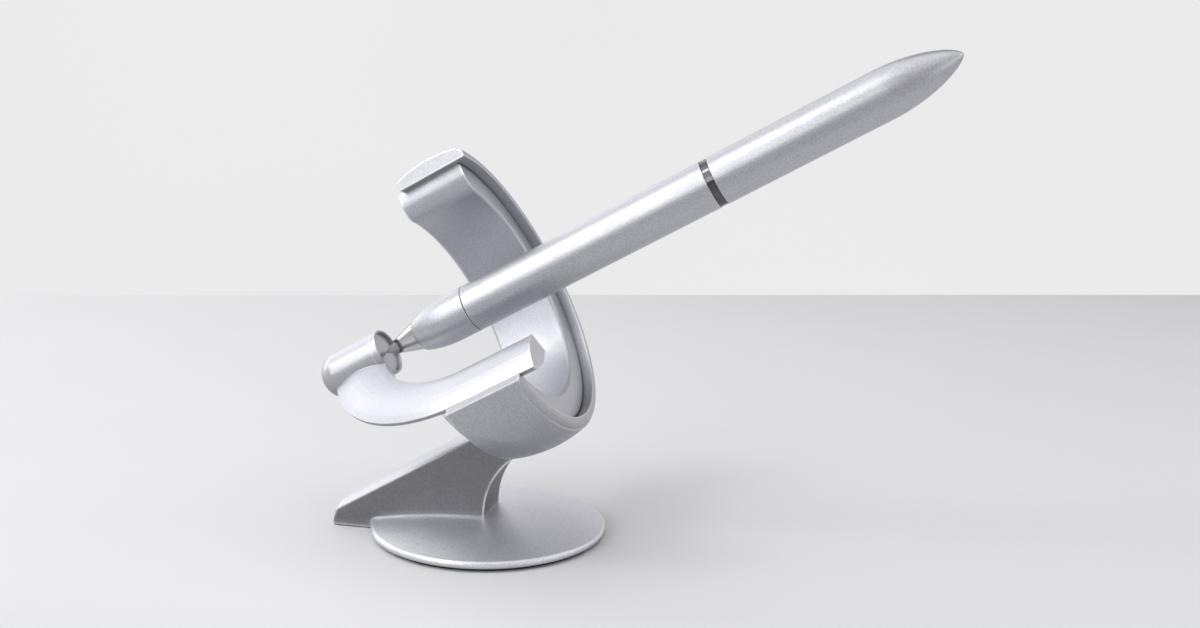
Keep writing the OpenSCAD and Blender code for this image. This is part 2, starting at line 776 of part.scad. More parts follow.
module refill_plunger() {
  stem_from = tube_end - plunger_cup_l;
  color([0.9, 0.9, 0.88]) on_pen() difference() {
    union() {
      translate([0, 0, stem_from]) cylinder(r = plunger_stem_r, h = plunger_head_at - stem_from);
      translate([0, 0, plunger_head_at]) cylinder(r = plunger_r, h = plunger_head_l);
      // The finger that rides on the cam
      translate([0, 0, plunger_head_at + plunger_head_l]) turned(2 * finger_half_angle, -finger_half_angle)
        translate([cam_bore_r + run_gap, 0]) square([cam_r - cam_bore_r - run_gap, finger_l]);
      // The key that keeps the plunger from turning
      translate([-key_r, -key_w / 2, plunger_head_at]) cube([plunger_r, key_w, plunger_head_l]);
    }
    translate([0, 0, stem_from - overrun]) cylinder(r = refill_d / 2 + fit_gap, h = plunger_cup_l + overrun);
  }
}

// How far the cam stands back at an angle a: level under the finger, then open, then falling along the twist
function cam_depth(a) = a <= cam_flat_angle ? 0
  : a < 360 - twist_angle ? refill_travel
  : refill_travel * (360 - a) / twist_angle;

function cam_ring(r, at_face) = [for (i = [0:cam_steps - 1]) let (a = 360 * i / cam_steps)
  [r * cos(a), r * sin(a), at_face ? cam_face + cam_depth(a) : cam_flange_at]];

module twist_cam() {
  n = cam_steps;
  color([0.85, 0.85, 0.83]) on_pen() {
    polyhedron(
      points = concat(cam_ring(cam_r, true), cam_ring(cam_bore_r, true), cam_ring(cam_bore_r, false), cam_ring(cam_r, false)),
      faces = [for (k = [0:3], i = [0:n - 1])
        let (j = (i + 1) % n, m = (k + 1) % 4) each [[k * n + i, k * n + j, m * n + j], [k * n + i, m * n + j, m * n + i]]]);
    translate([0, 0, cam_flange_at]) cylinder(r = bore_r - fit_gap, h = cam_flange_l);
  }
}

module cam_retainer() {
  color([0.75, 0.72, 0.6]) on_pen() tube(retainer_at, retainer_l, bore_r - fit_gap, bore_r - fit_gap - barrel_wall);
}

tail_bulge_share = 1.6;
// Radius of the tail at a share u of its length
function tail_r(u) = pen_r * sqrt(1 - pow(u, tail_bulge_share));

module upper_barrel() {
  from = band_at + band_w;
  tail_from = pen_length - tail_taper;
  color([0.80, 0.80, 0.85]) on_pen() difference() {
    turned() polygon(concat([[0, from], [pen_r, from]],
      [for (i = [0:profile_steps - 1]) let (u = sin(90 * i / profile_steps)) [tail_r(u), tail_from + tail_taper * u]],
      [[0, pen_length]]));
    translate([0, 0, from - overrun]) cylinder(r = bore_r, h = retainer_at + retainer_l + fit_gap - from + overrun);
  }
}

base_disc();
base_pad();
support_fin();
base_screws();
fin_dowels();
ring_shell();
ring_liner();
ring_magnets();
front_arm();
arm_pins();
tip_cup();
cup_collar();
cup_magnet();
cup_screw();
contact_disc();
tip_cone();
nose_section();
lower_barrel();
centre_band();
pen_magnet();
magnet_sleeve();
refill_spring();
twist_sleeve();
point_ball();
refill_point();
refill_tube();
refill_plunger();
upper_barrel();
twist_cam();
cam_retainer();
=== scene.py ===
"""Looks of the pen stand: finishes, two turned pieces, camera, floor and light, round the frame."""

import json
import math

import bmesh
import bpy
from mathutils import Matrix, Vector


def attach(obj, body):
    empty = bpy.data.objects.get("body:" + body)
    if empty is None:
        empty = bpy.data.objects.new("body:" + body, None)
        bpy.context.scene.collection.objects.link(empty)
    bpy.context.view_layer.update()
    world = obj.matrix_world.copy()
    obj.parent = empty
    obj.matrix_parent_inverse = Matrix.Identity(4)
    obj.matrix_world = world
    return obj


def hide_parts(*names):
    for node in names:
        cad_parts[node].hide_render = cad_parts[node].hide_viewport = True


MM = 0.001

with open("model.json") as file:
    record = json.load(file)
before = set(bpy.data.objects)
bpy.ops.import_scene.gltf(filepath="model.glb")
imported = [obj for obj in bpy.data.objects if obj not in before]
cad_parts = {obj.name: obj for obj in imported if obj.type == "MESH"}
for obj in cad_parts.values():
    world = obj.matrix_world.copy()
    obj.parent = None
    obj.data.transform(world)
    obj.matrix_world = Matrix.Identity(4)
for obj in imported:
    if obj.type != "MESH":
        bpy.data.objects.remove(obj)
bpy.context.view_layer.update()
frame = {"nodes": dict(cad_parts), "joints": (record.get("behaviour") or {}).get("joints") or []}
nodes = frame["nodes"]

# The pen's line, from the joint that it spins on: its start on the contact disc and its direction
pen_spin = next(joint for joint in frame["joints"] if joint["name"] == "pen_spin")
CONTACT, ALONG = Vector(pen_spin["pos_m"]), Vector(pen_spin["axis"]).normalized()


# Node trees

# Sockets of the colour mix node, which has one of each name per data type
MIX_A, MIX_B, MIX_RESULT = 6, 7, 2

# Most values of a noise texture lie in this span
NOISE_SPAN = (0.3, 0.7)


def shade(colour, share, plus=0.0):
    """A colour made darker or lighter by share, with plus added."""
    return tuple(min(1.0, c * share + plus) for c in colour)


class Graph:
    """A node tree, with short calls for the nodes that the finishes and the studio share."""

    def __init__(self, tree):
        self.nodes = tree.nodes
        self.links = tree.links

    def fill(self, socket, value):
        """Link an output to a socket, or set the socket to a colour or a number."""
        if isinstance(value, bpy.types.NodeSocket):
            self.links.new(value, socket)
        elif socket.type == "RGBA":
            socket.default_value = (*value, 1.0)
        else:
            socket.default_value = value

    def calc(self, operation, a, b):
        """A calculation on two outputs or numbers."""
        node = self.nodes.new("ShaderNodeMath")
        node.operation = operation
        self.fill(node.inputs[0], a)
        self.fill(node.inputs[1], b)
        return node.outputs["Value"]

    def vector(self, operation, a, b=None, output="Vector"):
        """A calculation on one or two vectors."""
        node = self.nodes.new("ShaderNodeVectorMath")
        node.operation = operation
        self.fill(node.inputs[0], a)
        if b is not None:
            self.fill(node.inputs[1], b)
        return node.outputs[output]

    def scale(self, vector, share):
        """A vector or colour times share."""
        node = self.nodes.new("ShaderNodeVectorMath")
        node.operation = "SCALE"
        self.fill(node.inputs["Vector"], vector)
        self.fill(node.inputs["Scale"], share)
        return node.outputs["Vector"]

    def axis(self, vector, name):
        """One coordinate of a vector."""
        split = self.nodes.new("ShaderNodeSeparateXYZ")
        self.fill(split.inputs["Vector"], vector)
        return split.outputs[name]

    def spread(self, value, low, high, low_in=0.0, high_in=1.0, shape="LINEAR"):
        """value carried from low_in..high_in to low..high, held at the ends."""
        node = self.nodes.new("ShaderNodeMapRange")
        node.interpolation_type = shape
        self.fill(node.inputs["Value"], value)
        self.fill(node.inputs["From Min"], low_in)
        self.fill(node.inputs["From Max"], high_in)
        self.fill(node.inputs["To Min"], low)
        self.fill(node.inputs["To Max"], high)
        return node.outputs["Result"]

    def mix(self, share, a, b, blend="MIX"):
        """Colour a where share is 0, and b where it is 1."""
        node = self.nodes.new("ShaderNodeMix")
        node.data_type = "RGBA"
        node.blend_type = blend
        self.fill(node.inputs["Factor"], share)
        self.fill(node.inputs[MIX_A], a)
        self.fill(node.inputs[MIX_B], b)
        return node.outputs[MIX_RESULT]

    def noise(self, vector, scale=1.0, detail=2.0, rough=0.5):
        """Noise from 0 to 1 over a vector."""
        node = self.nodes.new("ShaderNodeTexNoise")
        self.fill(node.inputs["Vector"], vector)
        self.fill(node.inputs["Scale"], scale)
        self.fill(node.inputs["Detail"], detail)
        self.fill(node.inputs["Roughness"], rough)
        return node.outputs["Fac"]


# Samples of the nodes that look round a point
EDGE_SAMPLES, OPENNESS_SAMPLES = 6, 8

# Spans in which the masks rise: the match of rounded and flat normals, and openness in and out
MATCH_SPAN, SEAM_SPAN, RIDGE_SPAN = (0.80, 0.985), (0.06, 0.45), (0.62, 0.90)


class Finish(Graph):
    """A material with one shader, and the masks and textures that its look is made of."""

    def __init__(self, name):
        self.material = bpy.data.materials.new(name)
        self.material.use_nodes = True
        super().__init__(self.material.node_tree)
        self.nodes.clear()
        output = self.nodes.new("ShaderNodeOutputMaterial")
        self.shader = self.nodes.new("ShaderNodeBsdfPrincipled")
        self.fill(output.inputs["Surface"], self.shader.outputs["BSDF"])
        where = self.nodes.new("ShaderNodeTexCoord")
        self.place, self.facing = where.outputs["Object"], where.outputs["Normal"]

    def set(self, name, value):
        """Give the shader a number, or drive it by an output."""
        self.fill(self.shader.inputs[name], value)

    def stretched(self, per_mm):
        """Object coordinates stretched to that many features per millimetre along x, y and z."""
        mapping = self.nodes.new("ShaderNodeMapping")
        self.fill(mapping.inputs["Vector"], self.place)
        self.fill(mapping.inputs["Scale"], [s / MM for s in per_mm])
        return mapping.outputs["Vector"]

    def grain(self, per_mm, detail, rough):
        """Noise with that many features per millimetre."""
        return self.noise(self.stretched((per_mm,) * 3), 1.0, detail, rough)

    def vary(self, noise, low, high, span=NOISE_SPAN):
        """Noise carried to low..high from the span in which most of its values lie."""
        return self.spread(noise, low, high, *span)

    def soft_edge(self, radius):
        """The normal rounded over edges within radius, in millimetres."""
        node = self.nodes.new("ShaderNodeBevel")
        node.samples = EDGE_SAMPLES
        self.fill(node.inputs["Radius"], radius * MM)
        return node.outputs["Normal"]

    def edge_mask(self, rounded):
        """0 on open faces and near 1 on edges, from the rounded normal."""
        flat = self.nodes.new("ShaderNodeNewGeometry").outputs["Normal"]
        match = self.vector("DOT_PRODUCT", flat, rounded, "Value")
        return self.spread(match, 1.0, 0.0, *MATCH_SPAN)

    def openness(self, reach, inside=False):
        """How open the space is within reach in millimetres, outside the solid or inside it."""
        node = self.nodes.new("ShaderNodeAmbientOcclusion")
        node.samples = OPENNESS_SAMPLES
        node.inside = inside
        node.only_local = inside
        self.fill(node.inputs["Distance"], reach * MM)
        return node.outputs["AO"]

    def crevice(self, reach):
        """Near 0 in seams and grooves, and 1 on open faces, judged within reach."""
        return self.spread(self.openness(reach), 0.0, 1.0, *SEAM_SPAN)

    def ridge(self, reach):
        """Near 1 on outer edges and small fillets, and 0 on open faces, judged within reach."""
        return self.spread(self.openness(reach, inside=True), 1.0, 0.0, *RIDGE_SPAN)

    def upward(self, low, high):
        """0 on faces whose normal rises less than low, and 1 where it rises more than high."""
        return self.spread(self.axis(self.facing, "Z"), 0.0, 1.0, low, high)

    def bump(self, height, depth, normal, strength=1.0):
        """The normal disturbed by height, depth millimetres deep."""
        node = self.nodes.new("ShaderNodeBump")
        self.fill(node.inputs["Height"], height)
        self.fill(node.inputs["Distance"], depth * MM)
        self.fill(node.inputs["Normal"], normal)
        self.fill(node.inputs["Strength"], strength)
        return node.outputs["Normal"]


# Kinds of finish

# Textures: features per millimetre, detail and roughness of the noise
CLOUDS, SMUDGES, WIPE_MARKS = (0.06, 3.0, 0.55), (0.22, 4.0, 0.6), (0.5, 4.0, 0.65)
FINGER_MARKS, DUST_CLOUDS = (0.8, 4.0, 0.6), (0.3, 3.0, 0.6)
GRAIN_DETAIL, GRAIN_ROUGH, RING_DETAIL, RING_ROUGH = 3.0, 0.6, 3.0, 0.7

# Hairlines: features per millimetre along x, y and z, depth in millimetres and strength
HAIRLINES, HAIRLINE_DEPTH, HAIRLINE_STRENGTH = (9.0, 1.2, 9.0), 0.0012, 0.6

# Tones: shares of a finish's colour; the pocket tone is a painted shade
CLOUD_TONES, SPECK_TONES, POCKET_SHADE_TONE = (0.94, 1.04), (0.74, 1.18), 0.72
WIPED_TONE, EDGE_TONE, RING_TONE, FINGER_TONE = 0.9, 1.1, 0.8, 0.85
DUST_TONE, DUST_PLUS = 1.3, 0.02

# Spans of a noise or of openness in which a mark or, in pockets, painted shade appears
SPECK_SPAN, SMUDGE_SPAN, POCKET_SPAN = (0.35, 0.65), (0.35, 0.7), (0.2, 0.75)
WIPE_SPAN, FINGER_SPAN = (0.3, 0.75), (0.4, 0.7)
DUST_SPAN, DUST_GRAIN_SPAN = (0.45, 0.75), (0.4, 0.6)

# Changes of roughness by smudges, grain, wipe marks, rings and clouds, and on edges
SMUDGE_GLOSS, GRAIN_GLOSS, WIPE_GLOSS = (-0.035, 0.035), (-0.03, 0.03), (-0.03, 0.05)
RING_GLOSS, CLOUD_GLOSS, EDGE_GLOSS = (-0.06, 0.06), (-0.06, 0.06), 0.08

# Reach of the painted shade in seams and pockets, and width of soft edges, in millimetres
SEAM_REACH, POCKET_REACH, TURNED_EDGE, MOULDED_EDGE = 0.7, 4.0, 0.20, 0.12

# Shares in which a mark or a bump shows
FINGER_SHARE, DUST_SHARE, DUST_GRAIN, RING_STRENGTH = 0.4, 0.5, (0.3, 1.0), 0.8

# Shader values
SATIN_METALLIC, SATIN_COAT, SATIN_COAT_ROUGHNESS, MOULDED_SPECULAR = 0.9, 0.05, 0.3, 0.45


def satin(
    name,
    colour,
    worn_highlight_colour,
    roughness,
    depth,
    edge,
    worn_highlight_share,
    grain=3.0,
    flank_shade=1.0,
    faces=(0.05, 0.45),
    speckle=0.5,
    seam_shade=0.12,
):
    """Fine blasted metal with pale edges, partly rubbing and partly a painted highlight, and painted
    shade in pockets and seams.

    Edges turn to the given edge colour by the given edge share, over edge millimetres; that paleness
    is partly rubbing and partly a painted highlight. The grain has that many features per
    millimetre, is depth millimetres deep, and speckle is its share of the tone. Faces that rise less
    than faces get painted shade, down to their given share, and seams get painted shade down to
    theirs.
    """
    finish = Finish(name)
    fine = finish.grain(grain, GRAIN_DETAIL, GRAIN_ROUGH)
    cloud = finish.grain(*CLOUDS)
    smudge = finish.grain(*SMUDGES)
    rounded = finish.soft_edge(edge)
    # Pale edges and small fillets: partly rubbing, partly a painted highlight
    edges = finish.calc("MAXIMUM", finish.edge_mask(rounded), finish.ridge(2.0 * edge))
    rubbed_highlight = finish.calc("MULTIPLY", edges, finish.vary(smudge, 0.5 * worn_highlight_share, worn_highlight_share, SMUDGE_SPAN))

    dark, light = (shade(colour, tone) for tone in CLOUD_TONES)
    clouded = finish.mix(finish.vary(cloud, 0.0, 1.0), dark, light)
    dark, light = (shade(colour, tone) for tone in SPECK_TONES)
    specked = finish.mix(finish.vary(fine, 0.0, 1.0, SPECK_SPAN), dark, light)
    body = finish.mix(speckle, clouded, specked)
    # Painted shade on faces that turn sideways or down
    if flank_shade < 1.0:
        lit = finish.mix(finish.upward(*faces), (flank_shade,) * 3, (1.0,) * 3)
        body = finish.mix(1.0, body, lit, "MULTIPLY")
    # Painted shade in pockets, where the solid closes in round a point within a few millimetres
    pocket_shade = finish.spread(finish.openness(POCKET_REACH), 0.0, 1.0, *POCKET_SPAN)
    shaded = finish.mix(pocket_shade, shade(colour, POCKET_SHADE_TONE), finish.mix(rubbed_highlight, body, worn_highlight_colour))
    # Painted shade in seams and grooves between parts
    finish.set("Base Color", finish.mix(finish.crevice(SEAM_REACH), shade(colour, seam_shade), shaded))

    gloss = finish.calc("ADD", finish.vary(smudge, *SMUDGE_GLOSS), roughness)
    gloss = finish.calc("ADD", gloss, finish.vary(fine, *GRAIN_GLOSS))
    gloss = finish.calc("SUBTRACT", gloss, finish.calc("MULTIPLY", rubbed_highlight, EDGE_GLOSS))
    finish.set("Roughness", gloss)
    finish.set("Metallic", SATIN_METALLIC)
    finish.set("Coat Weight", SATIN_COAT)
    finish.set("Coat Roughness", SATIN_COAT_ROUGHNESS)
    finish.set("Normal", finish.bump(fine, depth, rounded))
    return finish.material


def polished(name, colour, roughness, edge):
    """Turned and polished metal: faint hairlines, a few wipe marks and slightly dull edges."""
    finish = Finish(name)
    lines = finish.noise(finish.stretched(HAIRLINES))
    marks = finish.grain(*WIPE_MARKS)
    rounded = finish.soft_edge(edge)
    mask = finish.edge_mask(rounded)
    tone = finish.mix(finish.vary(marks, 0.0, 1.0), shade(colour, WIPED_TONE), colour)
    finish.set("Base Color", finish.mix(mask, tone, shade(colour, EDGE_TONE)))
    gloss = finish.calc("ADD", finish.vary(marks, *WIPE_GLOSS, WIPE_SPAN), roughness)
    finish.set("Roughness", finish.calc("ADD", gloss, finish.calc("MULTIPLY", mask, EDGE_GLOSS)))
    finish.set("Metallic", 1.0)
    finish.set("Normal", finish.bump(lines, HAIRLINE_DEPTH, rounded, HAIRLINE_STRENGTH))
    return finish.material


def turned(name, colour, roughness, pitch, depth):
    """Brushed metal with the fine rings that a lathe leaves round the pen's line, pitch apart."""
    finish = Finish(name)
    from_contact = finish.vector("SUBTRACT", finish.place, CONTACT)
    off_line = finish.vector("CROSS_PRODUCT", from_contact, ALONG)
    radius = finish.vector("LENGTH", off_line, output="Value")
    ring_place = finish.nodes.new("ShaderNodeCombineXYZ")
    finish.fill(ring_place.inputs["X"], finish.calc("MULTIPLY", radius, 1.0 / (pitch * MM)))
    rings = finish.noise(ring_place.outputs["Vector"], 1.0, RING_DETAIL, RING_ROUGH)
    marks = finish.grain(*FINGER_MARKS)
    rounded = finish.soft_edge(TURNED_EDGE)
    tone = finish.mix(finish.vary(rings, 0.0, 1.0), shade(colour, RING_TONE), colour)
    marked = finish.vary(marks, 0.0, FINGER_SHARE, FINGER_SPAN)
    finish.set("Base Color", finish.mix(marked, tone, shade(colour, FINGER_TONE)))
    finish.set("Roughness", finish.calc("ADD", finish.vary(rings, *RING_GLOSS), roughness))
    finish.set("Metallic", 1.0)
    finish.set("Normal", finish.bump(rings, depth, rounded, RING_STRENGTH))
    return finish.material


def moulded(name, colour, roughness, grain, depth):
    """Moulded plastic or rubber with a fine texture and a little dust in it."""
    finish = Finish(name)
    fine = finish.grain(grain, GRAIN_DETAIL, GRAIN_ROUGH)
    cloud = finish.grain(*DUST_CLOUDS)
    rounded = finish.soft_edge(MOULDED_EDGE)
    patches = finish.vary(cloud, 0.0, DUST_SHARE, DUST_SPAN)
    dust = finish.calc("MULTIPLY", patches, finish.vary(fine, *DUST_GRAIN, DUST_GRAIN_SPAN))
    finish.set("Base Color", finish.mix(dust, colour, shade(colour, DUST_TONE, DUST_PLUS)))
    finish.set("Roughness", finish.calc("ADD", finish.vary(cloud, *CLOUD_GLOSS), roughness))
    finish.set("Specular IOR Level", MOULDED_SPECULAR)
    finish.set("Normal", finish.bump(fine, depth, rounded))
    return finish.material


# Finishes

# Each satin finish has painted shade in pockets and seams, and pale edges that are partly rubbing
# and partly a painted highlight
disc_paint = satin(
    "disc_paint", (0.75, 0.75, 0.80), (0.94, 0.94, 0.96), 0.44, depth=0.024, edge=0.35, worn_highlight_share=0.9
)
# Painted shade on the fin's sides and front, which face sideways or down
fin_paint = satin(
    "fin_paint", (0.67, 0.67, 0.715), (0.94, 0.94, 0.96), 0.46, depth=0.030, edge=0.35, worn_highlight_share=1.0,
    flank_shade=0.31, faces=(0.1, 0.85),
)
# The shell and the liner take a lighter painted shade in their seams
shell_paint = satin(
    "shell_paint", (0.46, 0.46, 0.495), (0.80, 0.80, 0.83), 0.43, depth=0.024, edge=0.30, worn_highlight_share=0.7,
    speckle=0.6, seam_shade=0.3,
)
ring_paint = satin(
    "ring_paint", (0.52, 0.52, 0.56), (0.95, 0.95, 0.97), 0.43, depth=0.022, edge=0.30, worn_highlight_share=0.9,
    seam_shade=0.3,
)
# Painted shade on the arm's sides
arm_paint = satin(
    "arm_paint", (0.565, 0.565, 0.61), (0.90, 0.90, 0.92), 0.43, depth=0.022, edge=0.22, worn_highlight_share=0.8,
    flank_shade=0.6, faces=(-0.15, 0.25), speckle=0.25,
)
# Painted shade on the cup's underside and sides
cup_paint = satin(
    "cup_paint", (0.55, 0.55, 0.59), (0.90, 0.90, 0.92), 0.36, depth=0.016, edge=0.10, worn_highlight_share=0.7,
    flank_shade=0.5, faces=(-0.75, 0.35), speckle=0.3,
)
# Nearly black painted shade in the pen's seams
pen_paint = satin(
    "pen_paint", (0.515, 0.515, 0.555), (0.82, 0.82, 0.85), 0.39, depth=0.018, edge=0.16, worn_highlight_share=0.5,
    grain=3.2, speckle=0.6, seam_shade=0.03,
)
steel_polish = polished("polished_steel", (0.56, 0.56, 0.58), 0.10, 0.10)
band_steel = polished("band_steel", (0.12, 0.12, 0.13), 0.09, 0.10)
plate = polished("magnet_plate", (0.74, 0.73, 0.70), 0.20, 0.15)
fastener = polished("fastener_steel", (0.60, 0.60, 0.61), 0.28, 0.10)
brass = polished("refill_brass", (0.80, 0.62, 0.32), 0.24, 0.08)
point_steel = polished("point_steel", (0.50, 0.50, 0.52), 0.18, 0.05)
tube_metal = polished("refill_metal", (0.66, 0.67, 0.69), 0.26, 0.10)
disc_steel = turned("contact_steel", (0.70, 0.70, 0.73), 0.36, pitch=0.16, depth=0.004)
rubber = moulded("pad_rubber", (0.028, 0.028, 0.030), 0.72, 3.0, 0.02)
plastic = moulded("inner_plastic", (0.62, 0.62, 0.60), 0.5, 2.5, 0.008)

FINISH = {
    "base_disc": disc_paint,
    "support_fin": fin_paint,
    "base_pad": rubber,
    "base_screws": fastener,
    "fin_dowels": fastener,
    "ring_shell": shell_paint,
    "ring_liner": ring_paint,
    "ring_magnets": plate,
    "front_arm": arm_paint,
    "arm_pins": fastener,
    "tip_cup": cup_paint,
    "cup_collar": cup_paint,
    "cup_magnet": plate,
    "cup_screw": fastener,
    "contact_disc": disc_steel,
    "tip_cone": steel_polish,
    "nose_section": pen_paint,
    "lower_barrel": pen_paint,
    "centre_band": band_steel,
    "pen_magnet": plate,
    "magnet_sleeve": plastic,
    "refill_spring": fastener,
    "twist_sleeve": brass,
    "point_ball": steel_polish,
    "refill_point": point_steel,
    "refill_tube": tube_metal,
    "refill_plunger": plastic,
    "upper_barrel": pen_paint,
    "twist_cam": plastic,
    "cam_retainer": plastic,
}

for name, piece in nodes.items():
    piece.data.materials.clear()
    piece.data.materials.append(FINISH[name])


# Objects and meshes


def placed(name, data):
    """A new object in the scene, made of a mesh, a camera or a lamp."""
    thing = bpy.data.objects.new(name, data)
    bpy.context.scene.collection.objects.link(thing)
    return thing


def mesh_of(name, points, faces, material):
    """A mesh of one material."""
    mesh = bpy.data.meshes.new(name)
    mesh.from_pydata([tuple(p) for p in points], [], faces)
    mesh.materials.append(material)
    return mesh


# Pieces turned in mesh code

SEGMENTS, PROFILE_STEPS = 160, 40
SHARP_ANGLE, MERGE_DISTANCE = math.radians(35), 1e-7


def stretch(node):
    """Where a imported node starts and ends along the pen's line, in millimetres from its start."""
    distances = [(v.co - CONTACT).dot(ALONG) / MM for v in nodes[node].data.vertices]
    return min(distances), max(distances)


def girth(node):
    """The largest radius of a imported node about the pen's line, in millimetres."""
    return max((v.co - CONTACT).cross(ALONG).length / MM for v in nodes[node].data.vertices)


def lathe(name, profile, body, material):
    """An outline of (distance along the pen's line, radius) in millimetres, turned about that line.

    It is closed from its last point to its first, or starts and ends on the line itself.
    """
    across = Vector((0.0, 1.0, 0.0))
    third = ALONG.cross(across)
    points, faces = [], []
    for distance, radius in profile:
        for k in range(SEGMENTS):
            a = 2 * math.pi * k / SEGMENTS
            offset = across * (math.cos(a) * radius) + third * (math.sin(a) * radius)
            points.append(CONTACT + (ALONG * distance + offset) * MM)
    rows = len(profile)
    ends_on_line = profile[0][1] == 0.0 and profile[-1][1] == 0.0
    for i in range(rows - 1 if ends_on_line else rows):
        here, there = i * SEGMENTS, (i + 1) % rows * SEGMENTS
        for k in range(SEGMENTS):
            m = (k + 1) % SEGMENTS
            faces.append((here + k, here + m, there + m, there + k))
    mesh = mesh_of(name, points, faces, material)
    work = bmesh.new()
    work.from_mesh(mesh)
    if ends_on_line:
        bmesh.ops.remove_doubles(work, verts=work.verts, dist=MERGE_DISTANCE)
    bmesh.ops.recalc_face_normals(work, faces=work.faces)
    work.to_mesh(mesh)
    work.free()
    mesh.polygons.foreach_set("use_smooth", [True] * len(mesh.polygons))
    mesh.set_sharp_from_angle(angle=SHARP_ANGLE)
    piece = placed(name, mesh)
    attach(piece, body)
    return piece


# The cone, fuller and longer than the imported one: its side up to the nose, spigot and stepped bore
CONE_START, CONE_TIP_R, CONE_END_R = 0.55, 0.40, 3.30
CONE_BULGE, CONE_SPACING = 0.78, 1.5
SPIGOT_R = 2.6
TUBE_BORE_START, TUBE_BORE_R = 4.9, 1.375
POINT_BORE_START, POINT_BORE_R = 0.56, 0.335

cone_end, _ = stretch("nose_section")
_, spigot_end = stretch("tip_cone")
cone_length, cone_gain = cone_end - CONE_START, CONE_END_R - CONE_TIP_R
cone_shares = [(i / PROFILE_STEPS) ** CONE_SPACING for i in range(PROFILE_STEPS + 1)]
cone_side = [
    (CONE_START + cone_length * u, CONE_TIP_R + cone_gain * u**CONE_BULGE) for u in cone_shares
]
cone = lathe(
    "tip_cone_polished",
    [
        (POINT_BORE_START, POINT_BORE_R),
        *cone_side,
        (cone_end, SPIGOT_R),
        (spigot_end, SPIGOT_R),
        (spigot_end, TUBE_BORE_R),
        (TUBE_BORE_START, TUBE_BORE_R),
        (TUBE_BORE_START, POINT_BORE_R),
    ],
    "pen_lower",
    steel_polish,
)
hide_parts("tip_cone")

# The upper barrel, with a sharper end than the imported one, bored out round the cam's retainer
TAIL_LENGTH, TAIL_SWELL, TAIL_POINT = 16.0, 1.9, 0.68
BORE_GAP = 0.02

barrel_start, barrel_end = stretch("upper_barrel")
barrel_r, bore_r = girth("upper_barrel"), girth("cam_retainer") + BORE_GAP
bore_end = stretch("cam_retainer")[1] + BORE_GAP
tail_start = barrel_end - TAIL_LENGTH
tail_shares = [math.sin(math.pi / 2 * (1.0 - i / PROFILE_STEPS)) for i in range(PROFILE_STEPS + 1)]
tail_side = [
    (tail_start + TAIL_LENGTH * u, barrel_r * (1.0 - u**TAIL_SWELL) ** TAIL_POINT)
    for u in tail_shares
]
tail = lathe(
    "upper_barrel_turned",
    [
        *tail_side,
        (barrel_start, barrel_r),
        (barrel_start, bore_r),
        (bore_end, bore_r),
        (bore_end, 0.0),
    ],
    "pen_upper",
    pen_paint,
)
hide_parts("upper_barrel")


# Camera, fitted to the photograph: the point it turns about, its angles and distance from there

AIM = Vector((0.020, 0.0, 0.048))
TURN, RISE, ROLL = math.radians(12.173), math.radians(9.253), math.radians(1.034)
REACH = 0.244795

# The photograph's width and height, focal length and centre of view, in its pixels
WIDE, HIGH, FOCAL, CENTRE_X, CENTRE_Y = 1200, 628, 1207.93, 584.643, 312.022

# Width of the camera's sensor in millimetres, and the distances in metres between which it sees
SENSOR, NEAREST, FURTHEST = 36.0, 0.01, 50.0

back = Vector(
    (math.sin(TURN) * math.cos(RISE), -math.cos(TURN) * math.cos(RISE), math.sin(RISE))
)
level = Vector((math.cos(TURN), math.sin(TURN), 0.0))
rising = back.cross(level)
right = math.cos(ROLL) * level + math.sin(ROLL) * rising
up = -math.sin(ROLL) * level + math.cos(ROLL) * rising
eye = AIM + back * REACH

camera_data = bpy.data.cameras.new("camera")
camera_data.sensor_fit = "HORIZONTAL"
camera_data.sensor_width = SENSOR
camera_data.lens = FOCAL / WIDE * SENSOR
camera_data.shift_x = (WIDE / 2 - CENTRE_X) / WIDE
camera_data.shift_y = (CENTRE_Y - HIGH / 2) / WIDE
camera_data.clip_start = NEAREST
camera_data.clip_end = FURTHEST
camera = placed("camera", camera_data)
turn = Matrix((right, up, back)).transposed()
camera.matrix_world = Matrix.Translation(eye) @ turn.to_4x4()
bpy.context.scene.camera = camera


# Floor: it ends where the photograph's wall starts, and has a painted shade that makes it a little
# darker towards the front

FLOOR_HALF, FLOOR_DEEP, FLOOR_EDGE_ROW = 0.8, 1.15, 295
FLOOR_PALE, FLOOR_PALER = (0.74, 0.74, 0.75), (0.765, 0.765, 0.775)
FLOOR_FRONT_SHADE, FRONT_SHADE_SPAN = (0.55, 0.55, 0.56), (-0.16, -0.05)
FLOOR_CLOUDS, FLOOR_ROUGHNESS, FLOOR_SPECULAR = (0.02, 3.0, 0.5), 0.7, 0.2


def floor_under(px, py):
    """The point of the floor that the photograph's pixel shows."""
    ray = right * ((px - CENTRE_X) / FOCAL) + up * ((CENTRE_Y - py) / FOCAL) - back
    return eye + ray * (-eye.z / ray.z)


floor_finish = Finish("floor")
pale = floor_finish.mix(floor_finish.grain(*FLOOR_CLOUDS), FLOOR_PALE, FLOOR_PALER)
# Painted shade: the floor darkens towards the front, between the two depths of the span
front_shade = floor_finish.spread(floor_finish.axis(floor_finish.place, "Y"), 1.0, 0.0, *FRONT_SHADE_SPAN)
floor_finish.set("Base Color", floor_finish.mix(front_shade, pale, FLOOR_FRONT_SHADE))
floor_finish.set("Roughness", FLOOR_ROUGHNESS)
floor_finish.set("Specular IOR Level", FLOOR_SPECULAR)

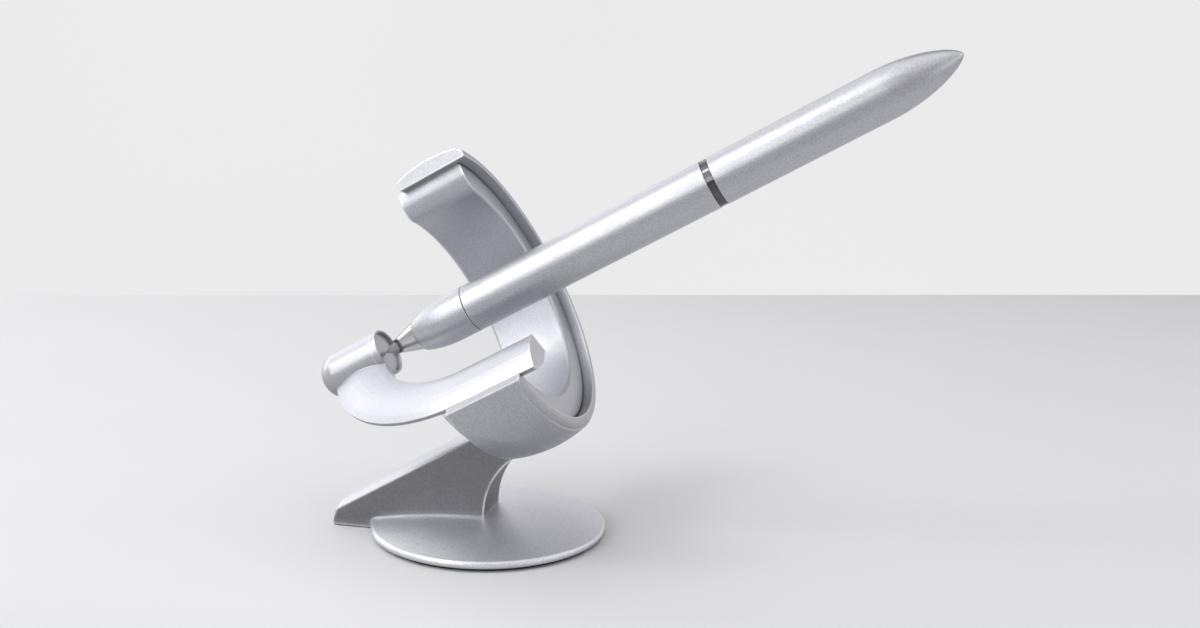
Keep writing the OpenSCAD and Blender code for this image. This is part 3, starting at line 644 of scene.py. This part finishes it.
edge_a, edge_b = floor_under(0, FLOOR_EDGE_ROW), floor_under(WIDE, FLOOR_EDGE_ROW)
sideways = (edge_b - edge_a).normalized()
inward = Vector((sideways.y, -sideways.x, 0.0))
middle = (edge_a + edge_b) / 2
corners = [
    middle - sideways * FLOOR_HALF,
    middle - sideways * FLOOR_HALF + inward * FLOOR_DEEP,
    middle + sideways * FLOOR_HALF + inward * FLOOR_DEEP,
    middle + sideways * FLOOR_HALF,
]
floor = placed("floor", mesh_of("floor", corners, [(0, 1, 2, 3)], floor_finish.material))


# Wall and ambient light: the camera and glossy rays see pale paper that fades out overhead

AMBIENT = (0.07, 0.07, 0.075)
PAPER_PALE, PAPER_PALER = (0.79, 0.79, 0.80), (0.88, 0.88, 0.885)
HAZE_SCALE, HAZE_DETAIL = 2.2, 1.0
OVERHEAD_SPAN, FRONT_TO_BACK, FRONT_TONE = (0.30, 0.75), (-0.8, 0.1), 0.56

world = bpy.data.worlds.new("studio")
world.use_nodes = True
sky = Graph(world.node_tree)
ambient = sky.nodes["Background"]
sky.fill(ambient.inputs["Color"], AMBIENT)

towards = sky.nodes.new("ShaderNodeTexCoord").outputs["Generated"]
paper = sky.mix(sky.noise(towards, HAZE_SCALE, HAZE_DETAIL), PAPER_PALE, PAPER_PALER)
depth_tone = sky.spread(sky.axis(towards, "Y"), FRONT_TONE, 1.0, *FRONT_TO_BACK)
overhead = sky.spread(sky.axis(towards, "Z"), 0.0, 1.0, *OVERHEAD_SPAN, "SMOOTHSTEP")
wall = sky.nodes.new("ShaderNodeBackground")
sky.fill(wall.inputs["Color"], sky.mix(overhead, sky.scale(paper, depth_tone), AMBIENT))

path = sky.nodes.new("ShaderNodeLightPath")
seen = sky.calc("MAXIMUM", path.outputs["Is Camera Ray"], path.outputs["Is Glossy Ray"])
both = sky.nodes.new("ShaderNodeMixShader")
for socket, output in zip(both.inputs, (seen, ambient.outputs[0], wall.outputs[0])):
    sky.fill(socket, output)
sky.fill(sky.nodes["World Output"].inputs["Surface"], both.outputs["Shader"])
bpy.context.scene.world = world


# Lamps: soft boxes that face the object, all as far from it

LAMP_DISTANCE = 1.1

# Name, bearing from the object, width and height in metres, and power
LAMPS = (
    ("key", (-0.55, -0.42, 0.72), (0.95, 0.95), 4.9),
    ("key_core", (-0.62, -0.34, 0.72), (0.3, 0.3), 1.8),
    ("left_front", (-0.42, -0.84, 0.34), (0.8, 0.35), 2.3),
    ("top", (0.0, 0.1, 1.0), (0.9, 0.9), 3.2),
    ("high_front", (0.3, -0.5, 0.8), (0.8, 0.8), 1.9),
    ("rear", (-0.6, 0.5, 0.6), (1.1, 1.0), 3.7),
    ("side", (-1.0, 0.15, 0.22), (0.5, 0.6), 1.1),
    ("right_front", (0.85, -0.5, 0.12), (0.5, 0.7), 0.9),
    ("fill", (0.75, 0.15, 0.7), (0.8, 0.8), 2.3),
)

for name, bearing, size, power in LAMPS:
    lamp_data = bpy.data.lights.new(name, "AREA")
    lamp_data.shape = "RECTANGLE"
    lamp_data.size, lamp_data.size_y = size
    lamp_data.energy = power
    lamp = placed(name, lamp_data)
    direction = Vector(bearing).normalized()
    lamp.location = AIM + direction * LAMP_DISTANCE
    lamp.visible_camera = False
    lamp.rotation_mode = "QUATERNION"
    lamp.rotation_quaternion = direction.to_track_quat("Z", "Y")

bpy.context.scene.view_settings.view_transform = "Standard"
